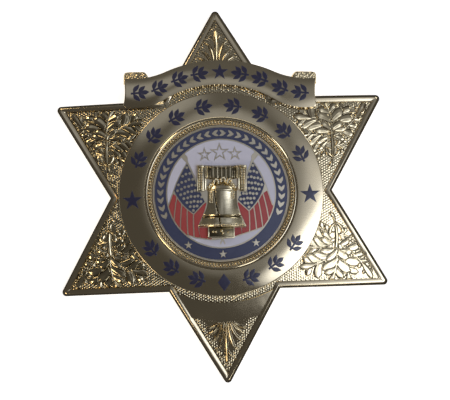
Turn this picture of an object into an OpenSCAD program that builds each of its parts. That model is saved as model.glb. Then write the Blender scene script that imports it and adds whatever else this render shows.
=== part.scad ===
// Six-point star badge, domed, with a ribbon banner, a crowned ring panel, enamel inlays and an
// applied enamel seal. It lies face up: +Z is the face, +Y the upper point, and the back edges of
// the six tips stand on z = 0.

/* [Star plate] */
// Reach of each rounded tip from the centre
tip_reach = 38.1; // [37.6:0.1:38.6]
// Distance of each notch from the centre
notch_r = 22.4; // [22.3:0.1:22.6]
// Radius that rounds each tip
tip_round = 0.8; // [0.6:0.1:1]
// Radius of the dome that the plate is pressed to
dome_r = 160; // [150:5:180]
// Thickness of the plate
plate_t = 1.5; // [1.4:0.1:1.7]
// Width of the raised rim
rim_w = 1.25; // [1.1:0.05:1.4]
// Height of the rim over the plate
rim_h = 0.5; // [0.4:0.05:0.6]
// Height of the leaf relief over the plate
relief_h = 0.45; // [0.3:0.05:0.55]

/* [Ring panel and banner] */
// Inner radius of the crowned ring panel
panel_in = 15.35; // [15.3:0.05:15.4]
// Outer radius of the crowned ring panel
panel_out = 20.65; // [20.5:0.05:20.8]
// Height of the crown over the plate
panel_h = 1.3; // [1.2:0.05:1.4]
// Height of the banner over the plate
banner_h = 1.2; // [1.1:0.05:1.3]
// Half of the banner's width
banner_half = 19.7; // [19.2:0.1:19.8]

/* [Seal and enamel] */
// Radius of the applied seal
seal_r = 13.9; // [13.85:0.05:13.9]
// Height of the seal's face over the plate
seal_h = 1; // [0.9:0.05:1.1]
// Width of the walls between two enamels
wall_w = 0.16; // [0.14:0.01:0.2]
// Depth of the cells that hold enamel
cell_d = 0.36; // [0.32:0.02:0.4]
// Gap round each piece
gap = 0.04; // [0.03:0.01:0.05]

/* [Pin] */
// Diameter of the pin's stem
pin_d = 1.1; // [0.9:0.1:1.2]
// Distance from the joint to the catch
pin_span = 26; // [24:1:28]

/* [Hidden] */
dome_z = -sqrt(dome_r ^ 2 - tip_reach ^ 2);
ball_fn = 256;
ring_fn = 128;
top_z = 12;
tip_half = atan2(notch_r / 2, tip_reach - notch_r * cos(30));
tip_sharp = tip_reach + tip_round * (1 / sin(tip_half) - 1);
edge_dist = tip_sharp * sin(tip_half);
floor_h = seal_h - cell_d;

// Height of the dome's skin at a distance from its axis, lift mm over the plate's back
function skin(r, lift) = dome_z + sqrt((dome_r + lift) ^ 2 - r ^ 2);
function turn(a, p) = [p.x * cos(a) - p.y * sin(a), p.x * sin(a) + p.y * cos(a)];
// A shallow curve from one point to another, with its middle pushed out by bulge
function curve(from, to, bulge, steps = 6) = let (way = to - from, side = [way.y, -way.x] / norm(way))
    [for (i = [0:steps]) let (t = i / steps) from + way * t + side * bulge * 4 * t * (1 - t)];
// A pointed leaf along X, bent sideways towards its tip
function blade(length, width, bend = 0, steps = 6) = [
    for (i = [0:steps]) let (t = i / steps) [length * t, bend * t * t + width / 2 * sin(180 * t)],
    for (i = [steps - 1:-1:1]) let (t = i / steps) [length * t, bend * t * t - width / 2 * sin(180 * t)]];
function five_star(r) = [for (i = [0:9]) turn(90 + i * 36, [i % 2 == 0 ? r : r * 0.382, 0])];
// Scale that moves every edge of a five-point star in by gap
function star_shrink(r, by) = 1 - by / (r * 0.309);

// Both sides of a line of even width along a path
function line_points(path, width) = let (last = len(path) - 1, normals = [for (i = [0:last])
        let (way = path[min(i + 1, last)] - path[max(i - 1, 0)]) [-way.y, way.x] / norm(way)])
    concat([for (i = [0:last]) path[i] + normals[i] * width / 2],
        [for (i = [last:-1:0]) path[i] - normals[i] * width / 2]);

module ball(lift) translate([0, 0, dome_z]) sphere(r = dome_r + lift, $fn = ball_fn);
// A flat shape raised to lift mm over the plate's back, as high as the dome's skin
module raise(lift, from = -1) intersection() {
    translate([0, 0, from]) linear_extrude(height = top_z - from) children();
    ball(lift);
}
// The space over the dome's skin within a flat shape
module above(lift) difference() {
    prism() children();
    ball(lift);
}
module prism() linear_extrude(height = top_z) children();
module line(path, width) polygon(line_points(path, width));

// The star's outline, with its edges moved in by inset
module star(inset, round) {
    size = 1 - inset / edge_dist;
    centre = size * tip_sharp - round / sin(tip_half);
    polygon([for (i = [0:5]) each concat(
        [for (a = [-60:20:60]) turn(i * 60 + 90, [centre + round * cos(a), round * sin(a)])],
        [turn(i * 60 + 120, [size * notch_r, 0])])]);
}

// The banner's edges: an arch that follows the ring, then a reverse bend to a level end
upper_arch = 27.1;
upper_turn = 24;
upper_bend = 16;
lower_arch = 22;
lower_turn = 31;
lower_bend = 11;
function arch_edge(x, arch, swing, bend) = let (side = abs(x), over = turn(90 - swing, [arch + bend, 0]))
    side < arch * sin(swing) ? sqrt(arch ^ 2 - side ^ 2) : over.y - sqrt(bend ^ 2 - (side - over.x) ^ 2);
function banner_top(x) = arch_edge(x, upper_arch, upper_turn, upper_bend);
function banner_low(x) = arch_edge(x, lower_arch, lower_turn, lower_bend);
function banner_mid(x) = (banner_top(x) + banner_low(x)) / 2;

// The banner sits a little askew on the star
banner_shift = [0.6, 0.3];
banner_lean = -2;
module askew() translate(banner_shift) translate([0, banner_mid(0)]) rotate(banner_lean)
    translate([0, -banner_mid(0)]) children();

module banner_outline(inset = 0) {
    half = banner_half - inset;
    steps = 24;
    xs = [for (i = [-steps:steps]) i / steps * half];
    polygon(concat([for (x = xs) [x, banner_top(x) - inset]],
        [[half - 0.35, (banner_top(half) + banner_low(half)) / 2]],
        [for (i = [len(xs) - 1:-1:0]) [xs[i], banner_low(xs[i]) + inset]],
        [[-half + 0.35, (banner_top(half) + banner_low(half)) / 2]]));
}

// Leaf relief
// along, across, angle, length, width, bend
SPRAY = [
    [22.4, 2.2, -2, 13.5, 1.9, -0.6],
    [22.6, 1.6, -24, 10.5, 1.8, 1.2],
    [22.5, 1.0, -48, 9.0, 1.8, 1.6],
    [22.3, 0.2, -74, 8.5, 1.7, 1.8],
    [22.6, 3.0, 20, 9.0, 1.7, -1.0],
    [22.3, 3.6, 48, 7.5, 1.6, -1.4],
    [21.9, 4.2, 82, 5.5, 1.5, -1.2],
    [27.5, 1.0, -36, 5.5, 1.3, 0.8],
    [27.5, 2.4, 26, 4.5, 1.2, -0.6],
    [31.0, 1.0, -30, 3.6, 1.0, 0.5]];
PALM_TOP = [
    [27.6, 0, 0, 7.5, 1.5, 0],
    [27.5, 0.4, 30, 4.2, 1.2, -0.5],
    [27.5, -0.4, -30, 4.2, 1.2, 0.5],
    [30.0, 0.2, 22, 3.4, 0.9, -0.3],
    [30.0, -0.2, -22, 3.4, 0.9, 0.3],
    [27.4, 0.8, 62, 2.6, 1.0, -0.4],
    [27.4, -0.8, -62, 2.6, 1.0, 0.4]];
PALM_LOW = [
    [26.0, 0, 0, 9.5, 1.8, 0],
    [26.0, 0.6, 22, 7.0, 1.6, -0.6],
    [26.0, -0.6, -22, 7.0, 1.6, 0.6],
    [26.0, 1.2, 46, 5.0, 1.5, -0.6],
    [26.0, -1.2, -46, 5.0, 1.5, 0.6],
    [26.0, 1.8, 72, 3.6, 1.2, -0.4],
    [26.0, -1.8, -72, 3.6, 1.2, 0.4]];

module leaves(table) for (row = table)
    translate([row[0], row[1]]) rotate(row[2]) polygon(blade(row[3], row[4], row[5]));
module scroll_curl(along, across, size) translate([along, across]) difference() {
    circle(r = size, $fn = 32);
    translate([size * 0.25, -size * 0.15]) circle(r = size * 0.55, $fn = 32);
}
module relief() intersection() {
    difference() {
        star(rim_w + 0.35, 0.4);
        circle(r = panel_out + 0.9, $fn = ring_fn);
        askew() banner_outline(-0.3);
        lower_panel(-0.25);
    }
    union() {
        for (side = [0, 1], end = [0, 1]) mirror([side, 0]) mirror([0, end]) rotate(-30) {
            leaves(SPRAY);
            scroll_curl(24.6, 6.6, 1.6);
            scroll_curl(26.2, -5.6, 1.3);
        }
        rotate(90) leaves(PALM_TOP);
        rotate(-90) leaves(PALM_LOW);
    }
}

// The plain panel across the lower point
module lower_panel(inset) intersection() {
    star(rim_w - 0.1 + inset, 0.4);
    difference() {
        circle(r = 25.7 - inset, $fn = ring_fn);
        circle(r = 21.9 + inset, $fn = ring_fn);
    }
    polygon([[0, 0], turn(-121, [40, 0]), turn(-59, [40, 0])]);
}

// Ring panel: a ring with a slightly crowned face, sunk by drop, that leans outwards with the dome
crown_r = 30;
crest_r = 18;
crest_lean = 6.4;
panel_root = 2.5;
module ring_panel(drop = 0) rotate_extrude($fn = ring_fn) intersection() {
    translate([crest_r - crown_r * sin(crest_lean),
        skin(crest_r, plate_t + panel_h) - crown_r * cos(crest_lean)])
        circle(r = crown_r - drop, $fn = ball_fn);
    translate([panel_in, panel_root]) square([panel_out - panel_in, top_z]);
}
// The raised moulding inside the ring panel, with the ledge under the rope border
module moulding() rotate_extrude($fn = ring_fn) polygon([
    [13.98, 4.4], [panel_in + 0.1, 4.4], [panel_in + 0.1, skin(panel_in, plate_t + 1.3)],
    [15.15, skin(15, plate_t + 1.6)], [14.85, skin(15, plate_t + 1.6)],
    [14.85, skin(14.35, plate_t + 0.8)], [13.98, skin(14.35, plate_t + 0.8)]]);

// Enamel ornament of the ring panel and the banner: a laurel sprig with a leaf at the tip of a short
// stem and two pairs of leaves along it. Each row: place on the stem, angle, length, width, bend
SPRIG = [
    [0, 0, 1.95, 1.05, 0],
    [-0.4, 50, 2.1, 1.0, -0.3],
    [-0.4, -50, 2.1, 1.0, 0.3],
    [-1.45, 62, 2.3, 1.05, -0.4],
    [-1.45, -62, 2.3, 1.05, 0.4]];
stem_end = -1.95;
stem_w = 0.5;
module sprig(shrink = 0) {
    for (row = SPRIG) translate([row[0], 0]) rotate(row[1]) translate([shrink, 0])
        prism() polygon(blade(row[2] - 2 * shrink, row[3] - 2 * shrink, row[4]));
    translate([stem_end + shrink, shrink - stem_w / 2]) prism()
        square([2.5 - 2 * shrink, stem_w - 2 * shrink]);
}
module lozenge(shrink = 0) prism()
    polygon([for (a = [0:90:270]) turn(a, [(a % 180 == 0 ? 1.35 : 1.85) - 1.6 * shrink, 0])]);
module five_point(r, shrink = 0) polygon(five_star(r * star_shrink(r, shrink)));

band_r = 17.9;
upper_pitch = 18.6;
lower_pitch = 18.1;
side_star_r = 2.25;
// Bearing of each sprig from the upper point, clockwise, and the way it points
UPPER = [for (i = [0:7]) (i - 3.5) * upper_pitch];
LOWER = [for (i = [0:5]) 180 - (i < 3 ? i - 3 : i - 2) * lower_pitch];
module on_ring(bearing) rotate(-bearing) translate([0, band_r]) children();
module upper_sprig(i, shrink = 0) on_ring(UPPER[i]) mirror([i < 4 ? 0 : 1, 0]) sprig(shrink);
module lower_sprig(i, shrink = 0) on_ring(LOWER[i]) mirror([i < 3 ? 0 : 1, 0]) sprig(shrink);
module side_star(side, shrink = 0) translate([side * band_r, -0.8]) prism() five_point(side_star_r, shrink);

banner_pitch = 4.05;
// Four sprigs on each side of the banner's star
BANNER = [for (i = [-4:4]) if (i != 0) i * banner_pitch];
module banner_sprig(i, shrink = 0) {
    x = BANNER[i];
    lean = atan2(banner_mid(x + 0.1) - banner_mid(x - 0.1), 0.2);
    translate([x, banner_mid(x)]) rotate(lean) mirror([x < 0 ? 0 : 1, 0]) sprig(shrink);
}
module banner_star(shrink = 0) translate([0, banner_mid(0)]) prism() five_point(1.95, shrink);
module banner_marks() {
    for (i = [0:7]) banner_sprig(i);
    banner_star();
}
module ring_marks() {
    for (i = [0:7]) upper_sprig(i);
    for (i = [0:5]) lower_sprig(i);
    on_ring(180) lozenge();
    for (side = [-1, 1]) side_star(side);
}

fold_top = 24.9;
fold_drop = 0.45;
module banner() {
    difference() {
        raise(plate_t + banner_h) askew() banner_outline();
        difference() {
            askew() banner_marks();
            ball(plate_t + banner_h - cell_d);
        }
    }
    // Ribbon end folded up behind the banner at each side
    raise(plate_t + banner_h - fold_drop) askew() for (side = [0, 1]) mirror([side, 0]) polygon([
        [13.9, 22.9], [15, fold_top - 0.4], [15.7, fold_top], [banner_half - 0.8, fold_top],
        [banner_half - 0.15, fold_top - 0.4], [banner_half, 22.9]]);
}

module star_body() color("goldenrod") difference() {
    union() {
        difference() {
            raise(plate_t + rim_h, -3) star(0, tip_round);
            above(plate_t) {
                star(rim_w, 0.4);
                // The rim gives way to leaf ground where the banner crosses it
                intersection() {
                    circle(r = lower_arch + 0.1, $fn = ring_fn);
                    translate([-16, 12]) square([32, 10]);
                }
            }
        }
        raise(plate_t + relief_h, -2) relief();
        raise(plate_t + 0.7, -2.5) lower_panel(0);
        banner();
        difference() {
            ring_panel();
            difference() {
                translate([0, 0, 3.6]) ring_marks();
                ring_panel(cell_d);
            }
        }
        moulding();
    }
    ball(0);
}

// Enamel that fills a cell of the ring panel or the banner
module ring_fill() color("midnightblue") difference() {
    intersection() {
        translate([0, 0, 4]) children();
        ring_panel(gap);
    }
    ring_panel(cell_d - gap);
}
// Enamel between two skins of the dome, lift mm over the plate's back
module skin_fill(lift) difference() {
    intersection() {
        translate([0, 0, 3]) children();
        ball(lift - gap);
    }
    ball(lift - cell_d + gap);
}

module banner_fill() color("midnightblue") skin_fill(plate_t + banner_h) askew() children();

// Rope border: a round ring whose section swells and turns along its way
rope_r = 14.42;
rope_turns = 72;
rope_sides = 8;
rope_rings = rope_turns * 3;
rope_points = [for (i = [0:rope_rings - 1], j = [0:rope_sides - 1])
    let (a = i * 360 / rope_rings, b = j * 360 / rope_sides, size = 0.35 + 0.04 * cos(rope_turns * a + b),
        r = rope_r + size * cos(b))
    [r * cos(a), r * sin(a), size * sin(b)]];
rope_faces = [for (i = [0:rope_rings - 1], j = [0:rope_sides - 1])
    let (n = (i + 1) % rope_rings, k = (j + 1) % rope_sides)
    each [[i * rope_sides + j, i * rope_sides + k, n * rope_sides + k],
        [i * rope_sides + j, n * rope_sides + k, n * rope_sides + j]]];
module rope_bezel() color("gold") translate([0, 0, skin(14.35, plate_t + 1.25)])
    polyhedron(points = rope_points, faces = rope_faces);

// Moves each edge of a closed path in by a distance, or out where it is negative
function area(path) = let (last = len(path) - 1)
    [for (i = 0, sum = 0; i <= last; sum = sum + cross(path[i], path[(i + 1) % len(path)]), i = i + 1)
        sum][last];
function inset(path, by) = let (n = len(path), way = by * sign(area(path)))
    [for (i = [0:n - 1]) let (a = path[i] - path[(i + n - 1) % n], b = path[(i + 1) % n] - path[i],
        m = [-a.y, a.x] / norm(a), k = [-b.y, b.x] / norm(b)) path[i] + way * (m + k) / (1 + m * k)];
function backwards(path) = [for (i = [len(path) - 1:-1:0]) path[i]];

// Seal: flags, stars and laurel, each a wall or an island between the enamels. Points are measured
// from the seal's centre, with the left flag's table first
field_r = 10.85;
outer_wall = 11.05;
ring_out = 13.4;
staff_w = 0.28;
far = 14;
STAFFS = [[[-6.75, 7.0], [0.45, -10.25]], [[6.65, 6.8], [-0.5, -10.25]]];
// apex, outer corner, lower corner, inner corner
CANTONS = [[[-6.6, 6.4], [-9.5, 0.85], [-5.6, -4.0], [-3.1, -1.5]],
    [[6.6, 6.25], [8.95, 1.6], [5.5, -3.75], [3.0, -1.3]]];
// Fly edge, from the canton's outer corner to the field's rim
FLIES = [[[-9.5, 0.85], [-10.75, -2.4], [-far, -6]], [[8.95, 1.6], [10.25, -2.6], [far, -6]]];
// Hem, from the field's rim in to the bell
HEMS = [[[-8, -10.4], [-6.9, -8.2], [-5.4, -8.75], [-2.2, -9.3]],
    [[9, -9.3], [7.95, -7.2], [5.5, -7.95], [2.2, -8.9]]];
// Seams between the stripes, upper end and lower end
SEAMS = [[[[-8.83, -0.2], [-9.7, -6.5]], [[-7.8, -1.0], [-8.5, -9.0]], [[-6.85, -2.2], [-6.8, -10]],
        [[-5.6, -3.2], [-5.6, -10]], [[-4.75, -6.4], [-4.2, -10]]],
    [[[8.4, -0.2], [9.5, -6.5]], [[7.35, -1.0], [8.25, -9.0]], [[6.4, -2.2], [6.9, -10]],
        [[5.5, -3.0], [5.3, -10]], [[3.75, -6.4], [3.95, -10]]]];
// across, up, reach
OUTLINE_STARS = [[-3.05, 7.9, 1.45], [0, 8.3, 1.95], [3.05, 7.9, 1.45]];
RING_STARS = [[-6.9, -10.2], [0, -12.25], [6.7, -10.2]];
bell_x = 0.2;
bell_lean = -1.7;
// height, half width
BELL = [[2.35, 1.3], [1.9, 2.3], [1.4, 2.75], [0.85, 3.0], [-2.2, 3.05], [-3.9, 3.55], [-4.85, 3.95],
    [-6.1, 4.5], [-6.55, 4.75], [-6.82, 4.6]];
// The yoke's box and its arms', and the foot block's: left, bottom, width, height
yoke = [-4.75, 2.75, 9.9, 2.75];
arm_w = 1.4;
arm_low = 0.35;
foot = [-2.6, -8.95, 5.2, 2.4];

function way(side) = side == 0 ? -1 : 1;
function seam_curve(side, i) = curve(SEAMS[side][i][0], SEAMS[side][i][1], -0.15 * way(side), 4);
function canton_edge(side) = let (c = CANTONS[side], w = way(side))
    concat(curve(c[0], c[1], -0.2 * w, 4), [for (p = curve(c[1], c[2], -0.5 * w)) if (p != c[1]) p], [c[3]]);
function flag_edge(side) = let (w = way(side))
    concat(FLIES[side], HEMS[side], [[w * 1, -7], [w * 0.5, -3], CANTONS[side][3], [w * 5.6, 0.9]]);
// A stripe's two seams. The first begins beyond the fly edge and the last ends under the bell
function stripe_edge(side, i) = let (w = way(side))
    concat(i == 0 ? [[w * far, 3], [w * far, -8]] : seam_curve(side, i - 1),
        i == 5 ? [[w * 1.4, -10], [w * 1.4, -6.4]]
        : i == 4 ? [SEAMS[side][4][1], SEAMS[side][4][0], [w * 2, -6.2], [w * 2, -1]]
        : backwards(seam_curve(side, i)));

module bell_pad(grow) rotate(bell_lean) {
    polygon(inset(concat([for (row = BELL) [bell_x + row[1], row[0]]],
        [for (row = backwards(BELL)) [bell_x - row[1], row[0]]]), -grow));
    translate([yoke[0] - grow, arm_low - grow])
        square([yoke[2] + 2 * grow, yoke[1] + yoke[3] - arm_low + 2 * grow]);
    translate([foot[0] - grow, foot[1] - grow]) square([foot[2] + 2 * grow, foot[3] + grow]);
}
module finial(side, g) translate(STAFFS[side][0]) rotate(side == 0 ? 113 : 67) translate([-0.35 - g, 0])
    polygon(blade(1.7 + 2 * g, 0.85 + 2 * g));
module canton_cell(side, g) difference() {
    polygon(inset(canton_edge(side), wall_w / 2 + g));
    line(STAFFS[side], staff_w + 2 * g);
    dots(side, g);
    bell_pad(g + 0.08);
}
// Gold dots in staggered rows, six rows of six, between the canton's four corners
dot_rows = 6;
dot_r = 0.25;
module dots(side, g) {
    c = CANTONS[side];
    for (i = [0:dot_rows - 1], j = [0:dot_rows - 1]) {
        down = (i + 0.62) / (dot_rows + 0.3);
        in = (j + (i % 2 == 0 ? 0.35 : 0.75)) / (dot_rows + 0.3);
        near_side = c[0] * (1 - down) + c[1] * down;
        far_side = c[3] * (1 - down) + c[2] * down;
        translate(near_side * (1 - in) + far_side * in) circle(r = dot_r + g, $fn = 16);
    }
}
module stripe_cell(side, i, g) {
    w = wall_w / 2 + g;
    difference() {
        intersection() {
            polygon(inset(stripe_edge(side, i), w));
            polygon(inset(flag_edge(side), w));
            circle(r = field_r - g, $fn = ring_fn);
        }
        polygon(inset(canton_edge(side), -w));
        bell_pad(g + 0.08);
    }
}
// White field: the top between the two staffs, a sliver beyond each flag, and the crescent below
module field_top(g) difference() {
    intersection() {
        circle(r = field_r - g, $fn = ring_fn);
        polygon(inset([STAFFS[0][0], [-4.3, 1.2], [4.3, 1.2], STAFFS[1][0], [9.4, far], [-9.4, far]],
            staff_w / 2 + g));
    }
    for (side = [0, 1]) finial(side, g);
    bell_pad(g + 0.08);
    for (s = OUTLINE_STARS) translate([s[0], s[1]]) five_point(s[2], -g);
}
module field_side(side, g) difference() {
    intersection() {
        circle(r = field_r - g, $fn = ring_fn);
        polygon(inset(concat([STAFFS[side][0] * 1.6, [way(side) * far, 8], [way(side) * far, -4.4]],
            [FLIES[side][1]], backwards([for (k = [0:4]) canton_edge(side)[k]])), wall_w / 2 + g));
    }
    finial(side, g);
}
module field_low(g) difference() {
    intersection() {
        circle(r = field_r - g, $fn = ring_fn);
        polygon(inset(concat(HEMS[0], backwards(HEMS[1]), [[9, -far], [-8, -far]]), wall_w / 2 + g));
    }
    bell_pad(g + 0.08);
    for (staff = STAFFS) line(staff, 0.2 + 2 * g);
}
module field_star(i, g) translate([OUTLINE_STARS[i][0], OUTLINE_STARS[i][1]])
    five_point(OUTLINE_STARS[i][2], wall_w + g);
// The laurel on the blue ring: two branches of paired leaves that end just short of each other at the top
laurel_r = 12.2;
laurel_pitch = 7.6;
laurel_start = 5.3;
module laurel(g) for (side = [-1, 1], i = [0:14])
    rotate(-side * (i * laurel_pitch + laurel_start)) translate([0, laurel_r])
        rotate(side > 0 ? 180 : 0) for (lean = [32, -32]) rotate(lean) translate([-0.3 - g, 0])
            polygon(blade(1.5 + 2 * g, 0.55 + 2 * g, 0, 4));
module ring_cell(g) difference() {
    circle(r = ring_out - g, $fn = ring_fn);
    circle(r = outer_wall + g, $fn = ring_fn);
    laurel(g);
    for (s = RING_STARS) translate(s) five_point(0.8, -g);
}

module seal_disc() color("goldenrod") difference() {
    union() {
        raise(plate_t + seal_h, 3) circle(r = seal_r, $fn = ring_fn);
        rotate_extrude($fn = ring_fn) polygon([[ring_out + 0.1, 5.5], [seal_r, 5.5],
            [seal_r, skin(seal_r, plate_t + 1)], [seal_r - 0.15, skin(seal_r, plate_t + 1.2)],
            [ring_out + 0.2, skin(seal_r, plate_t + 1.2)], [ring_out + 0.1, skin(seal_r, plate_t + 1.1)]]);
    }
    ball(plate_t + gap);
    above(plate_t + floor_h) {
        ring_cell(0);
        field_top(0);
        field_low(0);
        for (i = [0:2]) field_star(i, 0);
        for (side = [0, 1]) {
            field_side(side, 0);
            canton_cell(side, 0);
            for (i = [0:5]) stripe_cell(side, i, 0);
        }
    }
}
module seal_fill(shade) color(shade) skin_fill(plate_t + seal_h) prism() children();

// Bell in relief, with its yoke and foot block. Its axis lies axis_d under the seal's face
axis_d = 4.5;
bead_r = 0.36;
bead_pitch = 0.67;
module bell() color("gold") difference() {
    translate([0, 0, skin(0, plate_t + seal_h)]) rotate(bell_lean) {
        translate([bell_x, 0, -axis_d]) rotate([-90, 0, 0]) rotate([0, 0, 180])
            rotate_extrude($fn = ring_fn) polygon(concat([[0, BELL[0][0]]],
                [for (row = BELL) [sqrt(row[1] ^ 2 + axis_d ^ 2), row[0]]], [[0, BELL[len(BELL) - 1][0]]]));
        // Crown between the bell and its yoke
        for (x = [-1.7:1.1:1.7]) translate([bell_x + x, 1.7, 0.1]) rotate([-90, 0, 0])
            cylinder(h = 1.4, r = 0.5, $fn = 32);
        translate([yoke[0], yoke[1], -0.5]) cube([yoke[2], yoke[3], 1.5]);
        for (x = [yoke[0], yoke[0] + yoke[2] - arm_w]) {
            translate([x, arm_low, -0.5]) cube([arm_w, 4, 1.4]);
            for (i = [0:6]) translate([x + arm_w / 2, 0.85 + i * bead_pitch, 0.75])
                sphere(r = bead_r, $fn = 32);
        }
        translate([foot[0], foot[1], -0.6]) cube([foot[2], foot[3], 1.5]);
    }
    ball(plate_t + seal_h + gap);
}

// Brooch pin: base strip against the back, joint block, stem and catch in one piece
pin_y = 6;
stem_z = 1.75;
module pin_back() color("silver") translate([0, pin_y, 0]) {
    intersection() {
        union() {
            translate([-pin_span / 2 - 3, -2.2, 2.9]) cube([pin_span + 6, 4.4, 4]);
            for (side = [-1, 1]) translate([side * pin_span / 2 - 1.5, -1.6, 0.7]) cube([3, 3.2, 4]);
        }
        translate([0, -pin_y, 0]) ball(-gap);
    }
    translate([-pin_span / 2, 0, stem_z]) rotate([0, 90, 0]) cylinder(h = pin_span, d = pin_d, $fn = 48);
}

star_body();
rope_bezel();
seal_disc();
bell();
seal_fill("midnightblue") ring_cell(gap);  // ring_enamel
seal_fill("lavender") field_top(gap);
seal_fill("lavender") field_low(gap);
seal_fill("lavender") field_side(0, gap);  // field_left
seal_fill("lavender") field_side(1, gap);  // field_right
seal_fill("midnightblue") canton_cell(0, gap);  // canton_left
seal_fill("midnightblue") canton_cell(1, gap);  // canton_right
for (i = [1:3]) seal_fill("lavender") field_star(i - 1, gap);
for (i = [1:6]) seal_fill("firebrick") stripe_cell(0, i - 1, gap);
for (i = [1:6]) seal_fill("firebrick") stripe_cell(1, i - 1, gap);
for (i = [1:8]) ring_fill() upper_sprig(i - 1, gap);
for (i = [1:6]) ring_fill() lower_sprig(i - 1, gap);
ring_fill() on_ring(180) lozenge(gap);  // lower_lozenge
ring_fill() side_star(-1, gap);  // side_star_left
ring_fill() side_star(1, gap);  // side_star_right
for (i = [1:8]) banner_fill() banner_sprig(i - 1, gap);
banner_fill() banner_star(gap);
pin_back();
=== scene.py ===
# Looks of the six-point star badge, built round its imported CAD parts. The CAD frame is in metres;
# the pieces are drawn in millimetres, as heights over the back of a flat plate, and then pressed to
# the plate's dome. The file follows the badge as it is put together, from the plate up to the pin.
import math

import bmesh
import bpy
import numpy as np
from mathutils import Matrix, Vector


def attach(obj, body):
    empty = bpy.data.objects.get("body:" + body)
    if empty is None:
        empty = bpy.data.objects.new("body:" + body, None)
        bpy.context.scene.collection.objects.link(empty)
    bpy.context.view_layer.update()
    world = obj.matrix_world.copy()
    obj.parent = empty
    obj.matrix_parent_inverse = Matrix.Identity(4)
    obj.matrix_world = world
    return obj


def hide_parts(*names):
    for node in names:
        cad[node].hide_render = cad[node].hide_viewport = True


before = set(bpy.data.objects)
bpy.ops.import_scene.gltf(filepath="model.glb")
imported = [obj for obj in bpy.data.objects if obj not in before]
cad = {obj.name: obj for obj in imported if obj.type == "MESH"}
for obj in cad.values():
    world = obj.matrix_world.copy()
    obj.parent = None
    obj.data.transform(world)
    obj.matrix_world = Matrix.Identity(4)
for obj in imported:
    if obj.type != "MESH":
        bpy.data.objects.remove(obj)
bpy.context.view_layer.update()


# Star plate: a blank of brass 1.5 mm thick, cut to six points, pressed to a shallow dome and struck
# with a raised rim. The rim is bevelled outside, slopes in from its narrow crest and ends in a fine
# step. The plate is gold plated and buffed, with painted shade on its outer wall and the rim's foot.
MM = 0.001
HALF_HIGH = 38.1
DOME_R = 160
DOME_Z = -math.sqrt(DOME_R ** 2 - HALF_HIGH ** 2)
PLATE_T = 1.5
# The points before they are rounded, and the notches between them
TIP_R = 38.906
NOTCH_R = 22.4
EDGE_ANGLE = math.radians(29.86)
EDGE_DIST = TIP_R * math.sin(EDGE_ANGLE)
RIM_W = 1.25
RIM_H = 0.5
CREST = PLATE_T + RIM_H
# Lines of the rim's section, from the plate's back up and in to the field
RIM_LINES = [  # inset, height, rounding of its points
    (0.1, 0, 0.7),
    (0, 0.12, 0.8),
    (0, CREST - 0.23, 0.8),
    (0.03, CREST - 0.21, 0.78),
    (0.44, CREST - 0.03, 0.42),
    (0.5, CREST, 0.4),
    (0.6, CREST, 0.34),
    (1.1, CREST - 0.1, 0.2),
    (1.14, CREST - 0.18, 0.2),
    (RIM_W, CREST - 0.2, 0.2),
    (RIM_W + 0.06, PLATE_T + 0.14, 0.2),
    (RIM_W + 0.14, PLATE_T, 0.2),
]
# The two notches above this line lie under the banner's ends and have no rim
BARE_ABOVE = 12


def skin(r, lift=0.0):
    """Height of the dome's skin at r mm from its axis, lift mm over the plate's back."""
    return DOME_Z + math.sqrt((DOME_R + lift) ** 2 - r * r)


def press(bm):
    """Presses a flat shape to the plate's dome and turns its millimetres to metres."""
    for v in bm.verts:
        v.co.z += skin(math.hypot(v.co.x, v.co.y))
    bm.transform(Matrix.Scale(MM, 4))


def cut_grid(bm, low, high, step):
    """Cuts a shape along a square grid, so that it can follow the dome."""
    for axis in (Vector((1, 0, 0)), Vector((0, 1, 0))):
        for i in range(math.ceil((high - low) / step) + 1):
            bmesh.ops.bisect_plane(bm, geom=bm.verts[:] + bm.edges[:] + bm.faces[:],
                                   plane_co=axis * (low + i * step), plane_no=axis)


def finish_piece(name, bm, finish, stands_for=(), smooth_angle=32):
    """Makes an object of a shape, smooth but for its sharp edges, that rides on the badge. An open
    underside is closed first."""
    bmesh.ops.holes_fill(bm, edges=[e for e in bm.edges if e.is_boundary], sides=0)
    bmesh.ops.recalc_face_normals(bm, faces=bm.faces)
    mesh = bpy.data.meshes.new(name)
    bm.to_mesh(mesh)
    bm.free()
    mesh.shade_smooth()
    mesh.set_sharp_from_angle(angle=math.radians(smooth_angle))
    mesh.materials.append(finish)
    piece = bpy.data.objects.new(name, mesh)
    bpy.context.scene.collection.objects.link(piece)
    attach(piece, "root")
    if stands_for:
        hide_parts(*stands_for)


def linear(code):
    """An sRGB hex value as linear light."""
    parts = [int(code[i:i + 2], 16) / 255 for i in (1, 3, 5)]
    return [p / 12.92 if p < 0.04045 else ((p + 0.055) / 1.055) ** 2.4 for p in parts] + [1.0]


def add(tree, kind, settings=(), **sockets):
    """Adds a node: settings are its own, and each socket gets a value or another node's output. A
    socket goes by its name, or by _ and its number where several share one name."""
    node = tree.nodes.new(kind)
    for name, value in dict(settings).items():
        setattr(node, name, value)
    for name, value in sockets.items():
        socket = node.inputs[int(name[1:]) if name[1:].isdigit() else name.replace("_", " ")]
        if isinstance(value, bpy.types.NodeSocket):
            tree.links.new(value, socket)
        else:
            socket.default_value = value
    return node


def new_finish(name):
    """An empty node material, with its shader and the point on the object that patterns follow."""
    finish = bpy.data.materials.new(name)
    finish.use_nodes = True
    tree = finish.node_tree
    tree.nodes.clear()
    shader = add(tree, "ShaderNodeBsdfPrincipled")
    out = add(tree, "ShaderNodeOutputMaterial")
    tree.links.new(shader.outputs["BSDF"], out.inputs["Surface"])
    place = add(tree, "ShaderNodeTexCoord").outputs["Object"]
    return finish, tree, shader, place


def per_mm(size):
    """Scale of a pattern whose features are size mm apart."""
    return 1 / (size * MM)


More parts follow.
